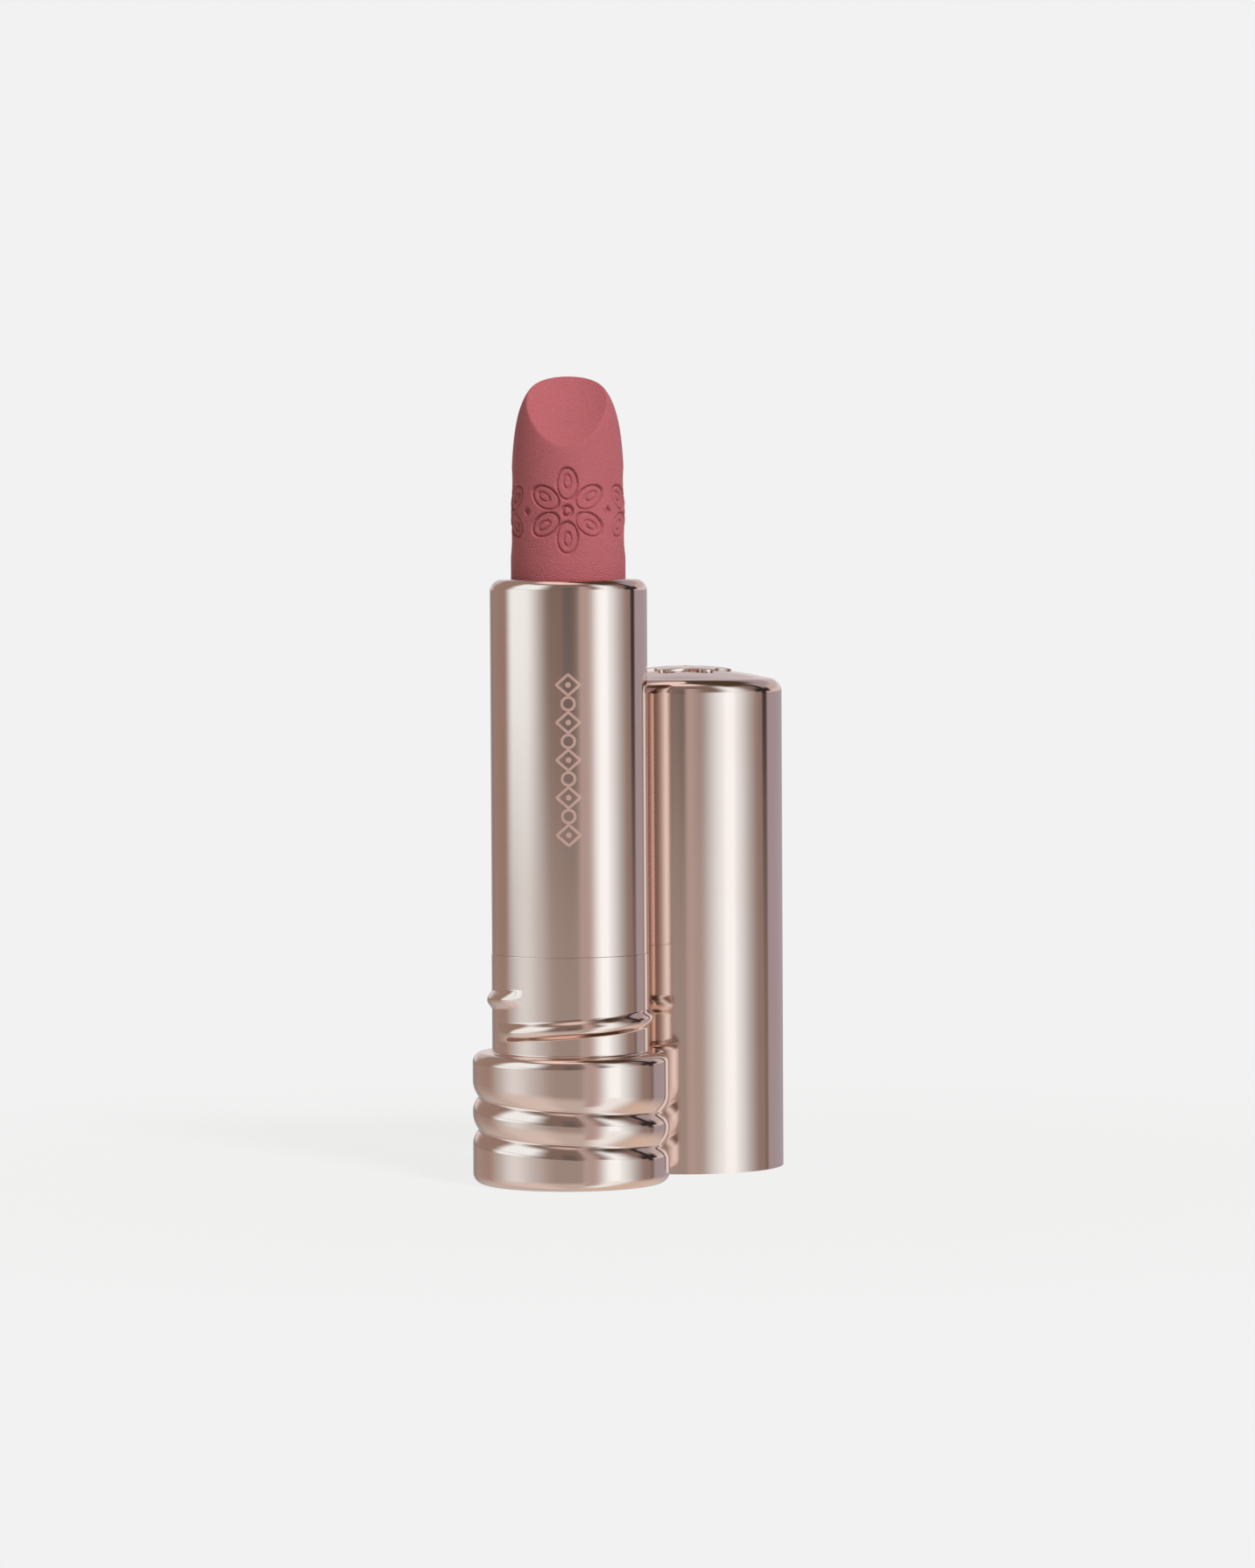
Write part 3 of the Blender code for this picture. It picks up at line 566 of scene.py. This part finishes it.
def rosette_tree():
    """Presses plain petalled rosettes, evenly spaced, into the side of an upright round stick."""
    tree = new_geometry_tree("rosette_band", {
        "Bullet Radius": "Float", "Band Height": "Float", "Rosettes": "Int", "Petals": "Int",
        "Depth": "Float", "Material": "Material"})
    start = add(tree, "NodeGroupInput").outputs

    # where a point is from the nearest rosette's centre, measured on the stick's surface
    position = add(tree, "GeometryNodeInputPosition")
    here = add(tree, "ShaderNodeSeparateXYZ", {0: position}).outputs
    front = add(tree, "ShaderNodeMath", {0: here["Y"], 1: -1.0}, operation="MULTIPLY")
    turn = add(tree, "ShaderNodeMath", {0: here["X"], 1: front}, operation="ARCTAN2")
    half_spacing = add(tree, "ShaderNodeMath", {0: math.pi, 1: start["Rosettes"]}, operation="DIVIDE")
    other_half = add(tree, "ShaderNodeMath", {0: half_spacing, 1: -1.0}, operation="MULTIPLY")
    near = add(tree, "ShaderNodeMath", {0: turn, 1: half_spacing, 2: other_half}, operation="WRAP")
    across = add(tree, "ShaderNodeMath", {0: near, 1: start["Bullet Radius"]}, operation="MULTIPLY")
    up = add(tree, "ShaderNodeMath", {0: here["Z"], 1: start["Band Height"]}, operation="SUBTRACT")
    flat = add(tree, "ShaderNodeCombineXYZ", {"X": across, "Y": up})
    away = add(tree, "ShaderNodeVectorMath", {0: flat}, operation="LENGTH").outputs["Value"]

    # the same point folded into one petal: along its spine and beside it
    petal_half = add(tree, "ShaderNodeMath", {0: math.pi, 1: start["Petals"]}, operation="DIVIDE")
    facing = add(tree, "ShaderNodeMath", {0: up, 1: across}, operation="ARCTAN2")
    shifted = add(tree, "ShaderNodeMath", {0: facing, 1: petal_half}, operation="ADD")
    folded = add(tree, "ShaderNodeMath", {0: shifted, 1: petal_half}, operation="PINGPONG")
    cosine = add(tree, "ShaderNodeMath", {0: folded}, operation="COSINE")
    sine = add(tree, "ShaderNodeMath", {0: folded}, operation="SINE")
    along = add(tree, "ShaderNodeMath", {0: away, 1: cosine}, operation="MULTIPLY")
    beside = add(tree, "ShaderNodeMath", {0: away, 1: sine}, operation="MULTIPLY")

    def oval(centre, length, width):
        """Distance from the centre of an oval in the petal, as a share of its own size."""
        past = add(tree, "ShaderNodeMath", {0: along, 1: centre}, operation="SUBTRACT")
        far = add(tree, "ShaderNodeMath", {0: past, 1: length}, operation="DIVIDE")
        wide = add(tree, "ShaderNodeMath", {0: beside, 1: width}, operation="DIVIDE")
        share = add(tree, "ShaderNodeCombineXYZ", {"X": far, "Y": wide})
        return add(tree, "ShaderNodeVectorMath", {0: share}, operation="LENGTH").outputs["Value"]

    petal, seed = oval(*PETAL_OVAL), oval(*SEED_OVAL)
    pressed = add(tree, "ShaderNodeMapRange", {
        "Value": petal, "From Min": BED_INNER, "From Max": BED_OUTER, "To Min": PETAL_BED,
        "To Max": 0.0}, interpolation_type="SMOOTHSTEP")
    for distance, line in ((petal, PETAL_LINE), (seed, SEED_LINE), (away, HEART_LINE)):
        inner, outer, soft = line
        rise = add(tree, "ShaderNodeMapRange", {
            "Value": distance, "From Min": inner - soft, "From Max": inner},
            interpolation_type="SMOOTHSTEP")
        past = add(tree, "ShaderNodeMapRange", {
            "Value": distance, "From Min": outer, "From Max": outer + soft},
            interpolation_type="SMOOTHSTEP")
        channel = add(tree, "ShaderNodeMath", {0: rise, 1: past}, operation="SUBTRACT")
        pressed = add(tree, "ShaderNodeMath", {0: pressed, 1: channel}, operation="MAXIMUM")

    # a small lozenge between neighbouring rosettes
    half_way = add(tree, "ShaderNodeMath", {0: half_spacing, 1: start["Bullet Radius"]},
                   operation="MULTIPLY")
    aside = add(tree, "ShaderNodeMath", {0: across}, operation="ABSOLUTE")
    height = add(tree, "ShaderNodeMath", {0: up}, operation="ABSOLUTE")
    gap = add(tree, "ShaderNodeMath", {0: half_way, 1: aside}, operation="SUBTRACT")
    lozenge = add(tree, "ShaderNodeMath", {0: gap, 1: height}, operation="ADD")
    pit = add(tree, "ShaderNodeMapRange", {
        "Value": lozenge, "From Min": PIT_FLOOR, "From Max": PIT_RIM, "To Min": 1.0, "To Max": 0.0},
        interpolation_type="SMOOTHSTEP")
    pressed = add(tree, "ShaderNodeMath", {0: pressed, 1: pit}, operation="MAXIMUM")

    inward = add(tree, "ShaderNodeVectorMath", {0: position, 1: (-1.0, -1.0, 0.0)}, operation="MULTIPLY")
    depth = add(tree, "ShaderNodeMath", {0: pressed, 1: start["Depth"]}, operation="MULTIPLY")
    share = add(tree, "ShaderNodeMath", {0: depth, 1: start["Bullet Radius"]}, operation="DIVIDE")
    offset = add(tree, "ShaderNodeVectorMath", {0: inward, "Scale": share}, operation="SCALE")
    moved = add(tree, "GeometryNodeSetPosition", {"Geometry": start["Geometry"], "Offset": offset})
    whole = add(tree, "GeometryNodeRealizeInstances", {"Geometry": moved})
    coated = add(tree, "GeometryNodeSetMaterial", {"Geometry": whole, "Material": start["Material"]})
    add(tree, "NodeGroupOutput", {"Geometry": coated})
    return tree


def make_stamp():
    """A column of lozenges and rings stamped in foil up the front of the upper tube."""
    made = linked("foil_ornament", bpy.data.meshes.new("foil_ornament"))
    grow(made, stamp_tree(), {
        "Tube Radius": SHELL_RADIUS, "Foot": FOIL_FOOT, "Pitch": FOIL_PITCH, "Lozenges": FOIL_LOZENGES,
        "Half Width": FOIL_HALF_WIDTH, "Stroke": FOIL_STROKE, "Thickness": FOIL_THICKNESS,
        "Material": FOIL})
    clean(made.data, FINE_WELD, 40)
    place(made, "upper_tube", [], FOIL)


def stamp_tree():
    """Lozenges with a ring between each two, up a line, then wrapped onto the tube's front."""
    tree = new_geometry_tree("foil_ornament", {
        "Tube Radius": "Float", "Foot": "Float", "Pitch": "Float", "Lozenges": "Int",
        "Half Width": "Float", "Stroke": "Float", "Thickness": "Float", "Material": "Material"})
    start = add(tree, "NodeGroupInput").outputs

    width = add(tree, "ShaderNodeMath", {0: start["Half Width"], 1: 2.0}, operation="MULTIPLY")
    rise = add(tree, "ShaderNodeMath", {0: start["Pitch"], 1: LOZENGE_RISE}, operation="MULTIPLY")
    ring_radius = add(tree, "ShaderNodeMath", {0: start["Pitch"], 1: RING_RADIUS}, operation="MULTIPLY")
    dot_radius = add(tree, "ShaderNodeMath", {0: start["Stroke"], 1: DOT_RADIUS}, operation="MULTIPLY")
    half_pitch = add(tree, "ShaderNodeMath", {0: start["Pitch"], 1: 0.5}, operation="MULTIPLY")
    ring_foot = add(tree, "ShaderNodeMath", {0: start["Foot"], 1: half_pitch}, operation="ADD")
    rings = add(tree, "ShaderNodeMath", {0: start["Lozenges"], 1: 1.0}, operation="SUBTRACT")

    lozenge = add(tree, "GeometryNodeCurvePrimitiveQuadrilateral", {
        "Width": width, "Bottom Height": rise, "Top Height": rise}, mode="KITE")
    dot = add(tree, "GeometryNodeCurvePrimitiveCircle", {"Radius": dot_radius})
    ring = add(tree, "GeometryNodeCurvePrimitiveCircle", {"Radius": ring_radius})
    profile = add(tree, "GeometryNodeCurvePrimitiveQuadrilateral", {
        "Width": start["Stroke"], "Height": start["Thickness"]})
    pitch = add(tree, "ShaderNodeCombineXYZ", {"Z": start["Pitch"]})
    joined = add(tree, "GeometryNodeJoinGeometry")

    # each shape is drawn as a flat strip standing in the XZ plane, and copied up a line
    for curve, points, count, foot in ((lozenge, 48, start["Lozenges"], start["Foot"]),
                                       (dot, 16, start["Lozenges"], start["Foot"]),
                                       (ring, 32, rings, ring_foot)):
        even = add(tree, "GeometryNodeResampleCurve", {"Curve": curve, "Count": points})
        strip = add(tree, "GeometryNodeCurveToMesh", {"Curve": even, "Profile Curve": profile})
        upright = add(tree, "GeometryNodeTransform", {
            "Geometry": strip, "Rotation": (math.pi / 2, 0.0, 0.0)})
        lowest = add(tree, "ShaderNodeCombineXYZ", {"Z": foot})
        line = add(tree, "GeometryNodeMeshLine", {
            "Count": count, "Start Location": lowest, "Offset": pitch})
        column = add(tree, "GeometryNodeInstanceOnPoints", {"Points": line, "Instance": upright})
        tree.links.new(column.outputs[0], joined.inputs[0])

    whole = add(tree, "GeometryNodeRealizeInstances", {"Geometry": joined})
    here = add(tree, "ShaderNodeSeparateXYZ", {0: add(tree, "GeometryNodeInputPosition")}).outputs
    turn = add(tree, "ShaderNodeMath", {0: here["X"], 1: start["Tube Radius"]}, operation="DIVIDE")
    out = add(tree, "ShaderNodeMath", {0: start["Tube Radius"], 1: here["Y"]}, operation="SUBTRACT")
    sine = add(tree, "ShaderNodeMath", {0: turn}, operation="SINE")
    cosine = add(tree, "ShaderNodeMath", {0: turn}, operation="COSINE")
    aside = add(tree, "ShaderNodeMath", {0: out, 1: sine}, operation="MULTIPLY")
    ahead = add(tree, "ShaderNodeMath", {0: out, 1: cosine}, operation="MULTIPLY")
    front = add(tree, "ShaderNodeMath", {0: ahead, 1: -1.0}, operation="MULTIPLY")
    around = add(tree, "ShaderNodeCombineXYZ", {"X": aside, "Y": front, "Z": here["Z"]})
    wrapped = add(tree, "GeometryNodeSetPosition", {"Geometry": whole, "Position": around})
    coated = add(tree, "GeometryNodeSetMaterial", {"Geometry": wrapped, "Material": start["Material"]})
    add(tree, "NodeGroupOutput", {"Geometry": coated})
    return tree


def petal_relief(out, turned):
    """Height of the emblem's face: petals bowed across and along, valleys between, a bead inside."""
    across = abs(math.sin(turned / 2))              # 0 on a petal's spine, 1 in the valley
    along = max(0.0, (out - EMBLEM_PETAL) / (1 - EMBLEM_PETAL))
    bow = (1 - across ** 4) * (1 - (2 * along - 1) ** 6) if out > EMBLEM_PETAL else 0.0
    bead = math.sqrt(max(0.0, 1 - (out / EMBLEM_BEAD) ** 2))
    return EMBLEM_THICKNESS * (EMBLEM_BED + (1 - EMBLEM_BED) * max(bow, bead))


def make_emblem():
    """Low relief badge on the cap: six domed petals round a bead, on the dome's own curve."""
    mesh = bpy.data.meshes.new("cap_petal_emblem")
    bm = bmesh.new()
    layers = []
    for top in (True, False):
        loops = []
        for ring in range(1, EMBLEM_RINGS + 1):
            loop = []
            for i in range(EMBLEM_SECTORS):
                a = TURN * i / EMBLEM_SECTORS
                edge = EMBLEM_RADIUS + EMBLEM_LOBE * math.cos(EMBLEM_LOBES * a)
                r = edge * ring / EMBLEM_RINGS
                lift = petal_relief(r / edge, EMBLEM_LOBES * a) if top else -FIT_GAP
                loop.append(bm.verts.new((r * math.cos(a), r * math.sin(a), dome_height(r) + lift)))
            loops.append(loop)
        heart = bm.verts.new((0, 0, dome_height(0) + (petal_relief(0, 0) if top else -FIT_GAP)))
        layers.append((heart, loops))
    upper, lower = layers[0][1][-1], layers[1][1][-1]
    for i in range(EMBLEM_SECTORS):
        j = (i + 1) % EMBLEM_SECTORS
        for heart, loops in layers:
            bm.faces.new([heart, loops[0][i], loops[0][j]])
            for inside, outside in zip(loops, loops[1:]):
                bm.faces.new([inside[i], outside[i], outside[j], inside[j]])
        bm.faces.new([upper[i], upper[j], lower[j], lower[i]])
    bmesh.ops.translate(bm, verts=bm.verts, vec=CAP_CENTRE)
    bm.to_mesh(mesh)
    bm.free()
    made = finished("cap_petal_emblem", mesh, sharp=60)
    place(made, "cap", ["cap_emblem"], LACQUER)


make_base()
make_label()
make_neck()
make_upper_tube()
make_cap()
make_liner()
make_bullet()
make_stamp()
make_emblem()

# ---------------------------------------------------------------- CAD pieces that stay

KEPT = {
    "base_weight": STEEL, "cap_weight": STEEL, "inner_body": IVORY_ABS, "spiral_cam": WHITE_ACETAL,
    "cup": WHITE_ACETAL, "glide_washer": WHITE_ACETAL, "brake_ring": RUBBER,
}
for node, finish in KEPT.items():
    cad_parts[node].data.materials.clear()
    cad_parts[node].data.materials.append(finish)

# ---------------------------------------------------------------- floor and light

PALE_TABLE = "#F2F2F2"              # the floor and the backdrop that it fades into


def new_stage_material(name):
    """A material with its shader still to be built, and its tree."""
    made = bpy.data.materials.new(name)
    made.use_nodes = True
    made.node_tree.nodes.clear()
    return made, made.node_tree


def make_floor():
    """A pale round table top that fades into the backdrop."""
    radius, fade_start, fade_end, drop = 0.6, 0.05, 0.2, 0.02 * MM
    self_lit = 0.92                 # so that only a trace of shadow lies round the foot
    mesh = bpy.data.meshes.new("floor")
    bm = bmesh.new()
    bmesh.ops.create_circle(bm, cap_ends=True, segments=96, radius=radius)
    bm.to_mesh(mesh)
    bm.free()
    floor = linked("floor", mesh)
    floor.location = (CAP_CENTRE.x / 2, CAP_CENTRE.y / 2, -drop)
    made, tree = new_stage_material("pale_table")
    place_on = add(tree, "ShaderNodeTexCoord").outputs["Object"]
    away = add(tree, "ShaderNodeVectorMath", {0: place_on}, operation="LENGTH").outputs["Value"]
    fade = add(tree, "ShaderNodeMapRange", {
        "Value": away, "From Min": fade_start, "From Max": fade_end}, interpolation_type="SMOOTHSTEP")
    paint = add(tree, "ShaderNodeBsdfDiffuse", {"Color": linear(PALE_TABLE)})
    glow = add(tree, "ShaderNodeEmission", {"Color": linear(PALE_TABLE), "Strength": 1.0})
    lit = add(tree, "ShaderNodeMixShader", {0: self_lit, 1: paint, 2: glow})
    clear = add(tree, "ShaderNodeBsdfTransparent")
    both = add(tree, "ShaderNodeMixShader", {0: fade, 1: lit, 2: clear})
    add(tree, "ShaderNodeOutputMaterial", {"Surface": both})
    mesh.materials.append(made)
    floor.visible_glossy = False


def band(tree, value, low, soft_low, high, soft_high):
    """1 between two values, easing to 0 at each over the given softness."""
    rise = add(tree, "ShaderNodeMapRange", {
        "Value": value, "From Min": low - soft_low / 2, "From Max": low + soft_low / 2},
        interpolation_type="SMOOTHSTEP")
    fall = add(tree, "ShaderNodeMapRange", {
        "Value": value, "From Min": high - soft_high / 2, "From Max": high + soft_high / 2,
        "To Min": 1.0, "To Max": 0.0}, interpolation_type="SMOOTHSTEP")
    return add(tree, "ShaderNodeMath", {0: rise, 1: fall}, operation="MULTIPLY")


# The studio round the object, which the metal mirrors. Azimuth 0 is the front (-Y), positive
# towards +X; all angles are in degrees, and a later card or flag lies over the earlier ones.
# Each: azimuth band (low, softness, high, softness), elevation band likewise, linear colour.
STUDIO = [
    ("back_wall_right", (114, 4, 200, 4), (-100, 2, 100, 2), (0.43, 0.40, 0.45)),
    ("back_wall_left", (-200, 4, -158, 20), (-100, 2, 100, 2), (0.40, 0.36, 0.38)),
    ("back_glow_right", (114, 4, 200, 4), (2, 4, 14, 12), (0.75, 0.69, 0.67)),
    ("back_glow_left", (-200, 4, -140, 20), (2, 4, 14, 12), (0.75, 0.69, 0.67)),
    ("back_wall_high_right", (114, 4, 200, 4), (14, 12, 26, 10), (0.63, 0.57, 0.60)),
    ("back_wall_high_left", (-200, 4, -140, 20), (14, 12, 26, 10), (0.63, 0.57, 0.60)),
    ("left_rear", (-150, 20, -95, 10), (-100, 2, 100, 2), (0.36, 0.285, 0.25)),
    ("left_rear_low", (-150, 20, -95, 20), (-100, 2, -5, 4), (0.42, 0.35, 0.315)),
    ("right_rear", (82, 10, 107, 6), (-100, 2, 20, 20), (0.325, 0.27, 0.255)),
    ("gap_at_the_front", (-8, 10, 8, 10), (-20, 8, 36, 30), (0.165, 0.158, 0.157)),
    ("table_glow", (-45, 20, 45, 20), (-100, 2, -2.5, 3.5), (0.41, 0.38, 0.36)),
    ("left_card_low", (-92, 45, -42, 56), (-100, 2, -3, 5), (0.86, 1.0, 1.06)),
    ("left_card", (-99, 20, -47, 44), (-3, 5, 12, 10), (1.08, 1.34, 1.45)),
    ("left_card_high", (-95, 20, -38, 28), (12, 10, 54, 14), (1.08, 1.34, 1.45)),
    ("right_card", (28, 40, 77, 45), (-100, 2, 10, 10), (1.06, 1.30, 1.42)),
    ("right_card_high", (48, 24, 74, 34), (10, 10, 56, 14), (1.14, 1.40, 1.54)),
    ("right_card_core", (46, 8, 60, 8), (-100, 2, 10, 14), (1.20, 1.46, 1.60)),
    ("dark_flag", (104, 4, 113, 4), (-2.5, 5, 80, 10), (0.03, 0.025, 0.03)),
    ("dark_flag_above", (93, 8, 124, 8), (6, 6, 24, 14), (0.036, 0.033, 0.033)),
    ("dark_overhead_right", (60, 30, 200, 4), (46, 16, 100, 2), (0.085, 0.062, 0.038)),
    ("bright_overhead_left", (-200, 4, 40, 40), (66, 12, 86, 6), (1.05, 0.97, 0.93)),
    ("floor_bounce", (-200, 4, 200, 4), (-100, 2, -24, 36), (0.64, 0.62, 0.60)),
    ("floor_bounce_left", (-95, 40, -30, 40), (-100, 2, -20, 32), (0.80, 0.79, 0.77)),
    ("warm_floor_right", (80, 50, 170, 40), (-100, 2, -22, 32), (0.76, 0.67, 0.59)),
    ("card_in_the_table", (32, 40, 70, 36), (-70, 30, -8, 6), (1.05, 1.24, 1.32)),
]
ROOM_TONE = (0.25, 0.205, 0.186)    # what the metal mirrors where there is no card
MATT_FILL = "#90806A"               # what lights matt surfaces, besides the key lamp


def make_world():
    """The studio for mirrors, an even dim fill for matt surfaces, a pale backdrop for the view."""
    world = bpy.data.worlds.new("studio")
    bpy.context.scene.world = world
    world.use_nodes = True
    tree = world.node_tree
    tree.nodes.clear()
    direction = add(tree, "ShaderNodeTexCoord").outputs["Generated"]
    split = add(tree, "ShaderNodeSeparateXYZ", {0: direction}).outputs
    front = add(tree, "ShaderNodeMath", {0: split["Y"], 1: -1.0}, operation="MULTIPLY")
    turn = add(tree, "ShaderNodeMath", {0: split["X"], 1: front}, operation="ARCTAN2")
    azimuth = add(tree, "ShaderNodeMath", {0: turn}, operation="DEGREES")
    rise = add(tree, "ShaderNodeMath", {0: split["Z"]}, operation="ARCSINE")
    elevation = add(tree, "ShaderNodeMath", {0: rise}, operation="DEGREES")
    light = (*ROOM_TONE, 1.0)
    for _, across, up, colour in STUDIO:
        mask = add(tree, "ShaderNodeMath", {
            0: band(tree, azimuth, *across), 1: band(tree, elevation, *up)}, operation="MULTIPLY")
        mixed = add(tree, "ShaderNodeMix", {0: mask, 6: light, 7: (*colour, 1.0)}, data_type="RGBA")
        light = mixed.outputs[2]
    studio = add(tree, "ShaderNodeBackground", {"Color": light})
    # matt surfaces take a dimmer, even fill, so that the key lamp models them
    fill = add(tree, "ShaderNodeBackground", {"Color": linear(MATT_FILL)})
    backdrop = add(tree, "ShaderNodeBackground", {"Color": linear(PALE_TABLE)})
    path = add(tree, "ShaderNodeLightPath").outputs
    matt = add(tree, "ShaderNodeMixShader", {0: path["Is Diffuse Ray"], 1: studio, 2: fill})
    both = add(tree, "ShaderNodeMixShader", {0: path["Is Camera Ray"], 1: matt, 2: backdrop})
    add(tree, "ShaderNodeOutputWorld", {"Surface": both})


def make_key():
    """A distant lamp from the front right, wide enough for soft shadows, that models the bullet."""
    azimuth, elevation = math.radians(33), math.radians(43)
    lamp = bpy.data.lights.new("key", "SUN")
    lamp.energy = 2.6
    lamp.angle = math.radians(14)
    made = linked("key", lamp)
    towards = Vector((math.sin(azimuth) * math.cos(elevation), -math.cos(azimuth) * math.cos(elevation),
                      math.sin(elevation)))
    made.rotation_mode = "QUATERNION"
    made.rotation_quaternion = towards.to_track_quat("Z", "Y")
    made.visible_glossy = False


def make_warm_card():
    """A narrow warm card close in front of the cap; only reflections show it."""
    half_width, half_height = 18 * MM, 70 * MM
    sideways, ahead, height = 21 * MM, 45 * MM, 30 * MM
    left_edge, left_soft, right_edge, right_soft = -9 * MM, 7 * MM, 7 * MM, 22 * MM
    corners = [(-half_width, -half_height), (half_width, -half_height), (half_width, half_height),
               (-half_width, half_height)]
    mesh = bpy.data.meshes.new("warm_card")
    mesh.from_pydata([(x, 0, z) for x, z in corners], [], [(0, 1, 2, 3)])
    card = linked("warm_card", mesh)
    card.location = (sideways, -ahead, height)
    made, tree = new_stage_material("warm_card")
    place_on = add(tree, "ShaderNodeTexCoord").outputs["Object"]
    split = add(tree, "ShaderNodeSeparateXYZ", {0: place_on}).outputs
    body = band(tree, split["X"], left_edge, left_soft, right_edge, right_soft)
    glow = add(tree, "ShaderNodeEmission", {"Color": (0.53, 0.47, 0.46, 1.0)})
    clear = add(tree, "ShaderNodeBsdfTransparent")
    both = add(tree, "ShaderNodeMixShader", {0: body, 1: clear, 2: glow})
    add(tree, "ShaderNodeOutputMaterial", {"Surface": both})
    mesh.materials.append(made)
    card.visible_camera = False
    card.visible_diffuse = False
    card.visible_shadow = False


make_floor()
make_world()
make_key()
make_warm_card()
bpy.context.scene.view_settings.view_transform = "Standard"
